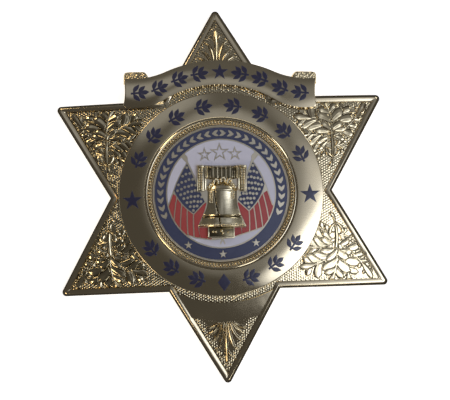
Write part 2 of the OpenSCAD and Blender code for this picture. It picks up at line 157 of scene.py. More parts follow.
def plated_gold(name, base, shade, rough_low, rough_high, scratch):
    """Gold plate over buffed brass: long hairlines from the buffing wheel, faint smears, and painted
    shade: a dull brown in the recesses, where the mesh's attribute for it is high."""
    finish, tree, shader, place = new_finish(name)
    smear = add(tree, "ShaderNodeTexNoise", Vector=place, Scale=per_mm(6), Detail=4.0,
                Roughness=0.6)
    tone = add(tree, "ShaderNodeMix", {"data_type": "RGBA"}, Factor=smear.outputs["Fac"],
               _6=linear(base), _7=linear(shade))
    rough = add(tree, "ShaderNodeMapRange", Value=smear.outputs["Fac"], From_Min=0.35, From_Max=0.7,
                To_Min=rough_low, To_Max=rough_high)
    lay = add(tree, "ShaderNodeMapping", Vector=place, Rotation=(0, 0, 0.5), Scale=(1, 9, 1))
    hair = add(tree, "ShaderNodeTexNoise", Vector=lay.outputs["Vector"], Scale=per_mm(1.6),
               Detail=3.0)
    bump = add(tree, "ShaderNodeBump", Height=hair.outputs["Fac"], Strength=scratch,
               Distance=0.02 * MM)
    # Painted shade: where the attribute is high the colour turns to a dull brown, the shade of
    # recesses and walls.
    painted_shade_mask = add(tree, "ShaderNodeAttribute", {"attribute_name": "painted_shade"}).outputs["Fac"]
    with_painted_shade = add(tree, "ShaderNodeMix", {"data_type": "RGBA"}, Factor=painted_shade_mask, _6=tone.outputs[2],
                 _7=linear("#7E7256"))
    tree.links.new(with_painted_shade.outputs[2], shader.inputs["Base Color"])
    tree.links.new(rough.outputs["Result"], shader.inputs["Roughness"])
    tree.links.new(bump.outputs["Normal"], shader.inputs["Normal"])
    shader.inputs["Metallic"].default_value = 1.0
    return finish


def new_shape():
    """An empty shape whose points also hold their painted shade: 0 is none, 1 is full."""
    bm = bmesh.new()
    bm.verts.layers.float.new("painted_shade")
    return bm


def set_painted_shade(bm, verts, amount):
    """Sets how much painted shade some points get."""
    layer = bm.verts.layers.float["painted_shade"]
    for v in verts:
        v[layer] = amount


polished_gold = plated_gold("buffed_gold_plate", "#E0CFAA", "#D6C298", 0.07, 0.16, 0.1)


def star_line(bm, inset, height, rounding):
    """One closed line round the star, moved in by inset, its points rounded."""
    size = 1 - inset / EDGE_DIST
    centre = size * TIP_R - rounding / math.sin(EDGE_ANGLE)
    notch = Matrix.Rotation(math.radians(30), 3, "Z") @ Vector((size * NOTCH_R, 0, height))
    spots = []
    for i in range(6):
        turned = Matrix.Rotation(math.radians(90 + 60 * i), 3, "Z")
        spots += [turned @ Vector((centre + rounding * math.cos(a), rounding * math.sin(a), height))
                  for a in np.radians(np.linspace(-60, 60, 9))]
        spots.append(turned @ notch)
    return [bm.verts.new(spot) for spot in spots]


bm = new_shape()
lines = [star_line(bm, *row) for row in RIM_LINES]
for lower, upper in zip(lines, lines[1:]):
    for i in range(len(lower)):
        bm.faces.new((lower[i - 1], lower[i], upper[i], upper[i - 1]))
for line in (lines[0], lines[-1]):
    bm.faces.new(line)
# Painted shade on the outer wall and on the step at the rim's foot.
set_painted_shade(bm, [v for line in lines[1:4] + lines[-2:] for v in line], 0.8)
cut_grid(bm, -39, 39, 2)
for v in bm.verts:
    if v.co.z > 0.5 and v.co.y > BARE_ABOVE and math.hypot(v.co.x, v.co.y) < NOTCH_R - 0.1:
        v.co.z = min(v.co.z, PLATE_T)
press(bm)
finish_piece("star_plate", bm, polished_gold, ["star_body"], 46)


# Leaf relief: the six fields inside the rim, struck from a hand-cut die. Leaves with rounded lobes,
# fine veins and swollen tips stand over a ground that is beaded with a round punch. The plating is
# bright on the leaves, and painted shade darkens the ground and the grooves.
FIELD_STEP = 0.058
# Square grid that a field is cut from: its inner side, half its size, and the slope of the field's
# two sides
FIELD_START = 17.6
FIELD_HALF = 11.2
FIELD_SPREAD = 0.585
LEAF_H = 0.3
# A blade's two sides fall this far from its middle, like a low roof
ROOF = 0.08
VEIN_H, VEIN_W = 0.035, 0.07
SWELL_H = 0.06
# How far a lobe leaves its rib, and how far it then curls out, in degrees
LOBE_ANGLE = 36
LOBE_CURL = 34
# Points along a leaf's rib, and the one at which the lobe at its end starts
RIB_STEPS = 41
END_LOBE_AT = 29
BEAD_PITCH = 0.54
BEAD_H = 0.06
# The ring panel and the banner, which come later, cover a part of the fields. A field reaches this
# far under them
PANEL_OUT = 20.65
UNDER_PANEL, UNDER_BANNER = 0.3, 0.4
# Leaves of a side field, back to front, on a point with its tip along X
SIDE_SPRAY = [  # along, across, heading, turn, length, pairs of lobes, length of a lobe
    # back leaves
    (23.8, -3.9, 150, 40, 3.6, 2, 1.6),
    (24.2, -3.6, -34, 60, 4.2, 2, 1.6),
    (25.4, -3.0, -6, 44, 8.6, 5, 1.9),
    (24.4, -2.8, 140, 30, 5.0, 3, 2.1),
    (24.8, -2.4, 120, 50, 7.0, 4, 2.4),
    (24.9, -2.0, -6, 40, 9.6, 5, 2.3),
    # front leaves
    (25.2, -1.7, 84, 70, 8.0, 4, 2.7),
    (25.3, -1.4, 22, 40, 8.4, 4, 2.7),
    (25.3, -1.6, 50, 44, 8.0, 4, 2.8),
    # stem, the two hooks at its neck, and the bud
    (22.6, -6.2, 48, 24, 6.0, 0, 0.4),
    (23.2, -5.6, 125, -75, 2.6, 0, 0.4),
    (23.3, -5.7, -8, 70, 2.4, 0, 0.4),
    (22.8, -6.0, 235, -50, 2.0, 0, 0.4),
]
# One half of the palm of the upper and the lower point, and its middle last. A blade without lobes
# gives its half width in the last column
PALM = [  # along, across, heading, turn, length, no lobes, half width
    (26.0, 1.7, 44, 50, 2.6, 0, 0.26),
    (26.0, 1.3, 24, 50, 3.4, 0, 0.28),
    (26.0, 0.9, 8, 44, 4.2, 0, 0.3),
    (29.6, 0.9, 10, 60, 2.6, 0, 0.24),
    (26.0, 0.5, 0, 26, 5.4, 0, 0.3),
    (31.6, 0.3, 10, 50, 1.6, 0, 0.24),
    (26.0, 0.0, 0, 0, 8.2, 0, 0.34),
]
both_halves = [(row[0], -row[1], -row[2], -row[3], *row[4:]) for row in PALM[:-1]] + PALM
struck_gold = plated_gold("struck_gold_plate", "#E2D0A8", "#D6C294", 0.07, 0.15, 0.2)


def rim_room(x, y):
    """Distance from a point of a field to the line where its rim ends."""
    return math.sin(EDGE_ANGLE) * (TIP_R - x) - math.cos(EDGE_ANGLE) * np.abs(y) - RIM_W


def bent_line(along, across, heading, turn, length, steps):
    """Shares of the way, points and headings along an even bend."""
    t = np.linspace(0, 1, steps)
    way = np.radians(heading + turn * t)
    step = length / (steps - 1)
    x = along + np.concatenate(([0], np.cumsum(np.cos(way[:-1])))) * step
    y = across + np.concatenate(([0], np.cumsum(np.sin(way[:-1])))) * step
    return t, x, y, way


def carve_blade(height, unshaded, x, y, line, half, lift=0.0, groove=0.08):
    """Raises one flat blade with a fine vein and a swollen tip along a line. A groove sets it off
    from the blades below, and without one it joins them."""
    t, px, py, way = bent_line(*line, 16)
    length, reach = line[4], half + 0.3
    near = np.flatnonzero((x > px.min() - reach) & (x < px.max() + reach)
                          & (y > py.min() - reach) & (y < py.max() + reach))
    dx, dy = x[near, None] - px, y[near, None] - py
    k = np.argmin(dx * dx + dy * dy, axis=1)
    rows = np.arange(len(near))
    ex, ey, c, s = dx[rows, k], dy[rows, k], np.cos(way[k]), np.sin(way[k])
    run = np.clip(t[k] + (ex * c + ey * s) / length, 0, 1)
    beyond = np.where((k == 0) | (k == len(t) - 1), np.abs(ex * c + ey * s), 0)
    side = ey * c - ex * s
    width = half * np.interp(run, [0, 0.15, 0.45, 0.75, 0.92, 1], [0.45, 0.62, 0.85, 1, 0.8, 0.3])
    u = np.hypot(side, beyond) / width
    vein = VEIN_H * np.exp(-(side / VEIN_W) ** 2) * np.clip(1.1 - run * 1.2, 0, 1)
    tip = SWELL_H * np.exp(-((run - 0.78) / 0.16) ** 2 - (side / (half * 0.6)) ** 2) * (groove > 0)
    blade = (LEAF_H + lift + vein + tip - ROOF * np.clip(u, 0, 1)) * (1 - np.clip(u, 0, 1) ** 8)
    below = height[near]
    # Blades are marked high and their grooves low; the field's painted shade falls where the mark is
    # low.
    if groove:
        cut = np.clip((u - 1) * width / groove, 0, 1)
        height[near] = np.where(u < 1, blade, below * (0.25 + 0.75 * cut))
        unshaded[near] = np.where(u < 1, np.clip(blade / LEAF_H - 0.1, 0, 1) ** 2, unshaded[near] * cut)
    else:
        height[near] = np.where(u < 1, np.maximum(blade, below), below)
        less_shaded = np.maximum(np.clip(blade / LEAF_H, 0, 1) ** 2, unshaded[near])
        unshaded[near] = np.where(u < 1, less_shaded, unshaded[near])


def carve_leaf(height, unshaded, x, y, row):
    """Raises one leaf: pairs of lobes that curl out, a lobe at its end, and its rib."""
    along, across, heading, turn, length, pairs, lobe = row
    if not pairs:
        carve_blade(height, unshaded, x, y, row[:5], lobe, 0.05)
        return
    _, px, py, way = bent_line(*row[:5], RIB_STEPS)
    way = np.degrees(way)
    for i in range(pairs):
        at = (i + 0.55) / (pairs + 0.45)
        k = round(at * (RIB_STEPS - 1))
        size = lobe * (0.75 + 0.5 * math.sin(math.pi * min(at * 1.15, 1)))
        size = min(size, max(rim_room(px[k], py[k]), 0.9))
        for side in (-1, 1):
            line = (px[k], py[k], way[k] + side * LOBE_ANGLE, side * LOBE_CURL, size)
            carve_blade(height, unshaded, x, y, line, 0.3 * size)
    k = END_LOBE_AT
    end = (px[k], py[k], way[k], turn * 0.2, length * 0.28 + 0.9)
    carve_blade(height, unshaded, x, y, end, 0.26 * lobe, 0.03)
    rib = (along, across, heading, turn, length * 0.97)
    carve_blade(height, unshaded, x, y, rib, 0.28, groove=0)


def punched_ground(x, y):
    """Round beads in staggered rows, none quite alike: a number from each bead's row and column
    moves and sizes it."""
    row = np.floor(y / (BEAD_PITCH * 0.866))
    offset = (row % 2) * 0.5 * BEAD_PITCH
    column = np.floor((x + offset) / BEAD_PITCH)
    jitter = np.sin(row * 12.99 + column * 78.23) * 43758.5
    jitter = jitter - np.floor(jitter)
    cx = (column + 0.5) * BEAD_PITCH - offset + (jitter - 0.5) * 0.1
    cy = (row + 0.5) * BEAD_PITCH * 0.866 + (jitter * 7 % 1 - 0.5) * 0.1
    d = np.clip(np.hypot(x - cx, y - cy) / (BEAD_PITCH * 0.42), 0, 1)
    return (0.6 + 0.8 * (jitter * 13 % 1)) * (1 - d * d)


BANNER_HALF = 19.7
# Radius of the arch of a banner's edge, half the arch's swing in degrees, radius of its reverse bend
TOP_ARCH = (27.1, 24, 16)
LOW_ARCH = (22.0, 31, 11)


def arch_edge(x, arch, swing, bend):
    """Where a banner edge runs: an arch round the ring, then a reverse bend to a level end."""
    side, swing = np.abs(x), math.radians(swing)
    over = (arch + bend) * math.sin(swing), (arch + bend) * math.cos(swing)
    inner = np.sqrt(np.maximum(arch ** 2 - side ** 2, 0))
    outer = over[1] - np.sqrt(np.maximum(bend ** 2 - (side - over[0]) ** 2, 0))
    return np.where(side < arch * math.sin(swing), inner, outer)


def banner_top(x):
    """The banner's upper edge at x."""
    return arch_edge(x, *TOP_ARCH)


def banner_low(x):
    """The banner's lower edge at x."""
    return arch_edge(x, *LOW_ARCH)


# The banner sits a little askew on the star: turns its own frame to the star's
BANNER_MID = (TOP_ARCH[0] + LOW_ARCH[0]) / 2
ASKEW = (Matrix.Translation((0.6, 0.3 + BANNER_MID, 0)) @ Matrix.Rotation(math.radians(-2), 4, "Z")
         @ Matrix.Translation((0, -BANNER_MID, 0)))
STRAIGHT = ASKEW.inverted()


def points_of(made):
    """The points in an operator's result."""
    return [v for v in made["geom"] if isinstance(v, bmesh.types.BMVert)]


def relief_field(name, bearing, spray, mirrored, seed, depth=1.0):
    """One field: a fine grid, cut to the space inside the rim and raised to the leaves. The beads
    stand in bands along the rim and the ring. depth is how deep the field was struck."""
    bm = new_shape()
    cells = round(2 * FIELD_HALF / FIELD_STEP)
    bmesh.ops.create_grid(bm, x_segments=cells, y_segments=cells, size=FIELD_HALF)
    bmesh.ops.translate(bm, verts=bm.verts, vec=(FIELD_START + FIELD_HALF, 0, 0))
    turned = math.radians(bearing)
    doomed = []
    for v in bm.verts:
        x, y = v.co.x, v.co.y
        r = math.hypot(x, y)
        room = rim_room(x, y)
        star_x = x * math.cos(turned) - y * math.sin(turned)
        star_y = x * math.sin(turned) + y * math.cos(turned)
        bare = r < NOTCH_R and star_y > BARE_ABOVE and room > 0.1 - RIM_W
        off_rim = room < -0.12 and not bare
        spot = STRAIGHT @ Vector((star_x, star_y, 0))
        under = star_y > 15 and abs(spot.x) < BANNER_HALF - UNDER_BANNER and (
            banner_low(spot.x) + UNDER_BANNER < spot.y < banner_top(spot.x) - UNDER_BANNER)
        if r < PANEL_OUT - UNDER_PANEL or off_rim or under or abs(y) > FIELD_SPREAD * x:
            doomed.append(v)
    bmesh.ops.delete(bm, geom=doomed, context="VERTS")
    points = np.array([v.co for v in bm.verts])
    x, y = points[:, 0], points[:, 1]
    along_rim = np.clip(1.7 - rim_room(x, y) / 1.1, 0.12, 1)
    along_ring = np.clip((23.4 - np.hypot(x, y)) / 1.2, 0, 1)
    band = np.maximum(along_rim, along_ring)
    dots = punched_ground(x + seed * 3.1, y) * band
    # Beads are marked lighter than the ground between them, and the bands along the rim and the ring
    # darker: painted shade.
    height, unshaded = BEAD_H * dots, 1 - 0.35 * band + 0.3 * dots
    for row in spray:
        carve_leaf(height, unshaded, x, y * (-1 if mirrored else 1), row)
    fade = np.clip(rim_room(x, y) / 0.3, 0, 1)
    height = 0.02 + height * fade * depth
    for v, h in zip(bm.verts, height):
        v.co.z = PLATE_T + h
    # Painted shade: the ground, the grooves and the bands by the rim and the ring turn dull brown,
    # less on a shallow field.
    painted_shade = bm.verts.layers.float["painted_shade"]
    for v, amount in zip(bm.verts, depth * (0.8 - (unshaded - 0.2) * fade)):
        v[painted_shade] = min(max(amount, 0), 1)
    down = bmesh.ops.extrude_edge_only(bm, edges=[e for e in bm.edges if e.is_boundary])
    for v in points_of(down):
        v.co.z = PLATE_T - 0.15
    bmesh.ops.rotate(bm, verts=bm.verts, cent=(0, 0, 0), matrix=Matrix.Rotation(turned, 3, "Z"))
    press(bm)
    finish_piece(name, bm, struck_gold, smooth_angle=86)


relief_field("leaf_field_upper", 90, both_halves, False, 1, 0.8)
relief_field("leaf_field_lower", 270, both_halves, False, 2)
relief_field("leaf_field_upper_right", 30, SIDE_SPRAY, False, 3, 0.58)
relief_field("leaf_field_upper_left", 150, SIDE_SPRAY, True, 4)
relief_field("leaf_field_lower_left", 210, SIDE_SPRAY, False, 5)
relief_field("leaf_field_lower_right", 330, SIDE_SPRAY, True, 6, 0.42)


# Ring panel: a crowned band round the seal, struck with the plate and buffed to a mirror, with a
# stepped moulding inside it that frames the seal.
PANEL_IN = 15.35
PANEL_H = 1.3
# The band's face is a part of a round of this radius. At CROWN_AT it stands PANEL_H over the plate
# and leans by CROWN_LEAN
CROWN_R = 30
CROWN_AT = 18
CROWN_LEAN = math.radians(6.4)
RING_UNDER = 3.9
MOULDING_UNDER = 4.6
# Corners of the moulding's face, from outside in
MOULDING = [  # distance, distance at which the dome is taken, height over the plate
    (15.5, 15, 1.25),
    (15.28, 15, 1.45),
    (15.0, 15, 1.6),
    (14.8, 15, 1.5),
    (14.78, 14.35, 0.8),
    (13.98, 14.35, 0.8),
]


def crown_lift(r):
    """Height of the ring panel's face at r mm from the centre, over the floor."""
    off = r - CROWN_AT + CROWN_R * math.sin(CROWN_LEAN)
    base = skin(CROWN_AT, PLATE_T + PANEL_H) - CROWN_R * math.cos(CROWN_LEAN)
    return base + math.sqrt(CROWN_R ** 2 - off ** 2)


def spun(name, profile, finish, rounding):
    """A band turned round the centre from a closed profile of distance and height over the floor.
    rounding is corner, size, segments."""
    bm = bmesh.new()
    corners = [bm.verts.new((r, 0, z)) for r, z in profile]
    bm.faces.new(corners)
    for corner, size, segments in rounding:
        bmesh.ops.bevel(bm, geom=[corners[corner]], offset=size, offset_type="OFFSET",
                        affect="VERTICES", segments=segments, profile=0.5, material=-1)
    bmesh.ops.delete(bm, geom=bm.faces[:], context="FACES_ONLY")
    bmesh.ops.spin(bm, geom=bm.verts[:] + bm.edges[:], cent=(0, 0, 0), axis=(0, 0, 1),
                   angle=math.tau, steps=256, use_merge=True)
    bm.transform(Matrix.Scale(MM, 4))
    finish_piece(name, bm, finish)


crown = [(r, crown_lift(r)) for r in np.linspace(PANEL_IN, PANEL_OUT, 20)]
spun("ring_panel", [(PANEL_OUT, RING_UNDER), *crown[::-1], (PANEL_IN, RING_UNDER)], polished_gold,
     [(1, 0.12, 3), (20, 0.1, 3)])
under = [(MOULDING[-1][0], MOULDING_UNDER), (MOULDING[0][0], MOULDING_UNDER)]
spun("ring_moulding", under + [(r, skin(at, PLATE_T + height)) for r, at, height in MOULDING],
     polished_gold, [(3, 0.1, 3), (4, 0.12, 3), (5, 0.06, 2)])


# Lower panel: a plain band across the lower point, struck with the plate and buffed, a little
# higher along its middle.
LOW_IN, LOW_MID, LOW_OUT = 21.9, 23.8, 25.7
LOW_TOP = PLATE_T + 0.72
# It is turned from this bearing on, too long, and then cut off at the rim on both sides
LOW_START, LOW_SWING = math.radians(-121), math.radians(62)
# Shapes that stand on the plate start at this height, inside it
SUNK = 1.0
bm = new_shape()
section = [bm.verts.new((r, 0, z)) for r, z in (
    (LOW_IN, SUNK), (LOW_IN, LOW_TOP - 0.04), (LOW_IN + 0.05, LOW_TOP), (LOW_MID, LOW_TOP + 0.05),
    (LOW_OUT - 0.05, LOW_TOP), (LOW_OUT, LOW_TOP - 0.04), (LOW_OUT, SUNK))]
bm.faces.new(section)
# Painted shade on the band's two side walls.
set_painted_shade(bm, section[:2] + section[-2:], 1)
bmesh.ops.rotate(bm, verts=bm.verts, cent=(0, 0, 0), matrix=Matrix.Rotation(LOW_START, 3, "Z"))
bmesh.ops.spin(bm, geom=bm.faces[:], cent=(0, 0, 0), axis=(0, 0, 1), angle=LOW_SWING, steps=64)
for side in (-1, 1):
    out = Vector((side * math.cos(EDGE_ANGLE), -math.sin(EDGE_ANGLE), 0))
    edge_point = Vector((0, -TIP_R, 0)) - out * (RIM_W - 0.1)
    cut = bmesh.ops.bisect_plane(bm, geom=bm.verts[:] + bm.edges[:] + bm.faces[:],
                                 plane_co=edge_point, plane_no=out, clear_outer=True)
    end = [g for g in cut["geom_cut"] if isinstance(g, bmesh.types.BMEdge)]
    bmesh.ops.contextual_create(bm, geom=end)
press(bm)
finish_piece("lower_panel", bm, polished_gold)


# Banner: a ribbon across the upper point, struck with the plate, slightly crowned and buffed, with
# hollow ends. Both ends are rolled back behind it.
BANNER_H = 1.2
BANNER_CROWN = 0.22
END_HOLLOW = 0.35


def banner_lift(x, y):
    """Height of the banner's face over the plate's back."""
    low, top = float(banner_low(x)), float(banner_top(x))
    t = (2 * y - low - top) / (top - low)
    return PLATE_T + BANNER_H + 0.1 - BANNER_CROWN * t * t


def round_over(bm, edges, size, segments=2):
    """Rounds edges over by size mm."""
    bmesh.ops.bevel(bm, geom=edges, offset=size, offset_type="OFFSET", affect="EDGES",
                    segments=segments, profile=0.5, material=-1)


def edges_at(bm, height):
    """Edges that lie flat at a height."""
    return [e for e in bm.edges if all(abs(v.co.z - height) < 0.005 for v in e.verts)]


bm = bmesh.new()
bmesh.ops.create_grid(bm, x_segments=120, y_segments=12, size=1)
for v in bm.verts:
    t = v.co.y
    x = v.co.x * (BANNER_HALF - END_HOLLOW * (1 - t * t) * abs(v.co.x) ** 6)
    low, top = float(banner_low(x)), float(banner_top(x))
    v.co = (x, (low + top) / 2 + t * (top - low) / 2, 0)
for v in bm.verts:
    v.co.z = banner_lift(v.co.x, v.co.y)
border = [e for e in bm.edges if e.is_boundary]
for v in points_of(bmesh.ops.extrude_edge_only(bm, edges=border)):
    v.co.z = SUNK
round_over(bm, border, 0.1, 3)
bm.transform(ASKEW)
press(bm)
finish_piece("banner", bm, polished_gold, smooth_angle=50)

# The rolls at its ends, stippled with a fine punch
FOLD_TOP = 24.9
FOLD_H = 1.45
bm = bmesh.new()
tab = [bm.verts.new((x, y, SUNK)) for x, y in (
    (13.9, 22.6), (15.0, FOLD_TOP - 0.45), (15.35, FOLD_TOP - 0.1), (15.8, FOLD_TOP),
    (18.9, FOLD_TOP), (19.45, FOLD_TOP - 0.15), (BANNER_HALF, FOLD_TOP - 0.6), (BANNER_HALF, 22.4))]
top = bmesh.ops.extrude_face_region(bm, geom=[bm.faces.new(tab)])
bmesh.ops.translate(bm, verts=points_of(top), vec=(0, 0, FOLD_H))
round_over(bm, edges_at(bm, SUNK + FOLD_H), 0.4, 4)
cut_grid(bm, 12, 26, 0.5)
other = bmesh.ops.duplicate(bm, geom=bm.verts[:] + bm.edges[:] + bm.faces[:])
bmesh.ops.scale(bm, verts=points_of(other), vec=(-1, 1, 1))
bm.transform(ASKEW)
press(bm)
stippled_gold = plated_gold("stippled_gold_plate", "#E0CFAA", "#C9B68A", 0.2, 0.34, 0.5)
tree = stippled_gold.node_tree
shader = tree.nodes["Principled BSDF"]
place = tree.nodes["Texture Coordinate"].outputs["Object"]
hairlines = shader.inputs["Normal"].links[0].from_socket
pits = add(tree, "ShaderNodeTexVoronoi", Vector=place, Scale=per_mm(0.42), Randomness=0.9)
dents = add(tree, "ShaderNodeBump", Height=pits.outputs["Distance"], Strength=0.9,
            Distance=0.14 * MM, Normal=hairlines)
tree.links.new(dents.outputs["Normal"], shader.inputs["Normal"])
finish_piece("banner_folds", bm, stippled_gold)


# Ornaments of the ring and the banner: dark blue enamel, fired into stamped cells and polished back,
# so that it stands a hair over the gold and its edges are soft.
ENAMEL_PROUD = 0.018
ENAMEL_T = 0.3
# A face of a packed cell counts as its top when its normal rises more than this
FACE_UP = 0.6


def enamel(name, low, high, cloud_size=1.5, rough=0.25):
    """Fired enamel, with faint clouds in its colour."""
    finish, tree, shader, place = new_finish(name)
    cloud = add(tree, "ShaderNodeTexNoise", Vector=place, Scale=per_mm(cloud_size), Detail=5.0)
    tone = add(tree, "ShaderNodeMix", {"data_type": "RGBA"}, Factor=cloud.outputs["Fac"],
               _6=linear(low), _7=linear(high))
    tree.links.new(tone.outputs[2], shader.inputs["Base Color"])
    shader.inputs["Roughness"].default_value = rough
    return finish


navy_enamel = enamel("navy_enamel", "#292740", "#343249", 2.2, 0.28)
tree = navy_enamel.node_tree
shader = tree.nodes["Principled BSDF"]
place = tree.nodes["Texture Coordinate"].outputs["Object"]
ripple = add(tree, "ShaderNodeTexNoise", Vector=place, Scale=per_mm(0.9), Detail=2.0)
bump = add(tree, "ShaderNodeBump", Height=ripple.outputs["Fac"], Strength=0.12, Distance=0.03 * MM)
tree.links.new(bump.outputs["Normal"], shader.inputs["Normal"])
shader.inputs["IOR"].default_value = 1.6


def ring_face(x, y):
    """Height of the ring panel's face over the floor."""
    return crown_lift(math.hypot(x, y))


def banner_face(x, y):
    """Height of the banner's face over the floor."""
    spot = STRAIGHT @ Vector((x, y, 0))
    return skin(math.hypot(x, y)) + banner_lift(spot.x, spot.y)


def inlay(node, face):
    """Enamel of a packed cell, laid on the new face of the metal."""
    bm = bmesh.new()
    bm.from_mesh(cad[node].data)
    bm.transform(Matrix.Scale(1 / MM, 4))
    bmesh.ops.remove_doubles(bm, verts=bm.verts, dist=0.002)
    bmesh.ops.dissolve_limit(bm, angle_limit=math.radians(12), verts=bm.verts, edges=bm.edges)
    top = [f for f in bm.faces if f.normal.z > FACE_UP]
    rim = {e for f in top for e in f.edges if any(g.normal.z < FACE_UP for g in e.link_faces)}
    tops = {v for f in top for v in f.verts}
    for v in bm.verts:
        v.co.z = 1 if v in tops else 0
    round_over(bm, list(rim), 0.05)
    cut_grid(bm, -27, 27, 0.5)
    for v in bm.verts:
        v.co.z = face(v.co.x, v.co.y) + (ENAMEL_PROUD - (1 - v.co.z) * ENAMEL_T)
    bm.transform(Matrix.Scale(MM, 4))
    finish_piece(node + "_inlay", bm, navy_enamel, [node])


for node in sorted(cad):
    if node.startswith(("upper_sprig", "lower_sprig", "side_star", "lower_lozenge")):
        inlay(node, ring_face)
    if node.startswith("banner_"):
        inlay(node, banner_face)


# Seal: a disc struck with thin walls between its enamels and set inside the moulding. Its plating
# is a little matt, and the enamels are fired and polished level with the walls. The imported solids
# carry over as they are.
seal_gold = plated_gold("seal_gold_plate", "#E1D6BD", "#D6C8A8", 0.34, 0.46, 0.4)
white_enamel = enamel("white_enamel", "#DAD7DF", "#E3E0E8")
red_enamel = enamel("red_enamel", "#AE4843", "#BC5650")
seal_blue = enamel("seal_blue_enamel", "#42465E", "#4E526A")
SEAL_FINISHES = [  # start of the nodes' names, finish
    ("seal_disc", seal_gold),
    ("field", white_enamel),
    ("stripe", red_enamel),
    ("canton", seal_blue),
    ("ring_enamel", seal_blue),
]
for node, obj in cad.items():
    for start, finish in SEAL_FINISHES:
        if node.startswith(start):
            obj.material_slots[0].material = finish


# Rope border: a ring of slanting beads between the seal and the moulding, rolled to look like a
# twisted cord and gold plated like the relief.
ROPE_R, BEADS = 14.42, 144
bm = bmesh.new()
bmesh.ops.create_uvsphere(bm, u_segments=8, v_segments=6, radius=1)
bmesh.ops.scale(bm, verts=bm.verts, vec=(0.45, 0.27, 0.42))
slant = Matrix.Rotation(math.radians(22), 3, "Z")
bmesh.ops.rotate(bm, verts=bm.verts, cent=(0, 0, 0), matrix=slant)
bmesh.ops.translate(bm, verts=bm.verts, vec=(ROPE_R, 0, skin(14.35, PLATE_T + 1.25)))
bmesh.ops.spin(bm, geom=bm.verts[:] + bm.edges[:] + bm.faces[:], cent=(0, 0, 0), axis=(0, 0, 1),
               angle=math.tau * (BEADS - 1) / BEADS, steps=BEADS - 1, use_duplicate=True)
bm.transform(Matrix.Scale(MM, 4))
finish_piece("rope_border", bm, struck_gold, ["rope_bezel"], 60)


# Bell: cast in relief, gold plated and soldered on the seal. It has a stout lip under a groove, a
# shoulder with a crown of loops, a slanting crack, a ribbed yoke between two beaded arms, and a
# framed foot block.
cast_gold = plated_gold("cast_gold_plate", "#EEDFBC", "#DCCB9C", 0.17, 0.32, 0.6)
BELL_X = 0.2
# The bell's sections are arcs whose centres lie this far behind the seal's face
AXIS_D = 4.5
SEAL_FACE = skin(0, PLATE_T + 1)
INTO_SEAL = 0.4
# From the shoulder's top down: the waist, the ridges over the lip, the groove, and the lip
BELL_ROWS = [  # height, half width, ridge over the section
    (2.35, 1.3, -0.2), (2.2, 1.8, -0.05), (1.9, 2.3, 0), (1.4, 2.75, 0), (0.85, 3.0, 0.02),
    (0.7, 3.02, 0.12), (0.55, 3.02, 0.12), (0.4, 3.0, 0), (-1.0, 2.98, 0), (-2.2, 3.05, 0),
    (-3.1, 3.25, -0.06), (-3.9, 3.55, -0.16), (-4.3, 3.75, -0.24), (-4.4, 3.82, -0.06),
    (-4.52, 3.86, -0.04), (-4.62, 3.9, -0.2), (-4.75, 3.95, -0.32), (-4.95, 4.0, -0.14),
    (-5.5, 4.2, -0.21), (-6.1, 4.5, -0.36), (-6.4, 4.68, -0.44), (-6.55, 4.75, -0.26),
    (-6.7, 4.75, -0.2), (-6.82, 4.6, -0.26), (-6.88, 4.4, -0.4),
]
GROOVE_LOW, GROOVE_TOP = -4.95, -4.6
# Turns of the crack, off the bell's middle, and the height where it starts
CRACK = [(-1.5, 0.4), (-1.35, -1.0), (-0.85, -3.8), (-0.55, -4.9), (-0.3, -6.9)]
CRACK_TOP = 0.5


def crack_x(y):
    """Where the crack runs at a height of the bell."""
    return np.interp(-y, [-c[1] for c in CRACK], [c[0] for c in CRACK])


def bell_point(u, row):
    """A point of the bell's face: u runs from side to side, and row is like one of BELL_ROWS."""
    y, half, ridge = row
    reach = math.hypot(half, AXIS_D)
    angle = u * math.atan2(half, AXIS_D)
    x = reach * math.sin(angle)
    z = reach * math.cos(angle) - AXIS_D + ridge * (1 - u ** 8)
    off = x - crack_x(y)
    if y < CRACK_TOP:
        z -= 0.3 * math.exp(-(off / 0.1) ** 2) + 0.1 * (off < 0)
    return BELL_X + x, y, z


def blend_rows(rows, steps):
    """Rows of a table with steps - 1 even ones added between each two."""
    table = np.array(rows)
    spots = np.linspace(0, len(rows) - 1, (len(rows) - 1) * steps + 1)
    return np.column_stack([np.interp(spots, range(len(rows)), column) for column in table.T])


def sheet(bm, points):
    """A sheet of faces through rows of points, with a skirt down to the seal."""
    grid = [[bm.verts.new(p) for p in line] for line in points]
    for upper, lower in zip(grid, grid[1:]):
        for i in range(1, len(upper)):
            bm.faces.new((upper[i - 1], upper[i], lower[i], lower[i - 1]))
    around = grid[0] + grid[-1] + [v for line in grid for v in (line[0], line[-1])]
    border = {e for v in around for e in v.link_edges if e.is_boundary}
    for v in points_of(bmesh.ops.extrude_edge_only(bm, edges=list(border))):
        v.co.z = -INTO_SEAL
    return grid


def ball(bm, place, size, squash=0.55):
    """A stud, with no painted shade on it."""
    shape = bmesh.ops.create_uvsphere(bm, u_segments=10, v_segments=6, radius=size)
    bmesh.ops.scale(bm, verts=shape["verts"], vec=(1, 1, squash))
    bmesh.ops.translate(bm, verts=shape["verts"], vec=place)


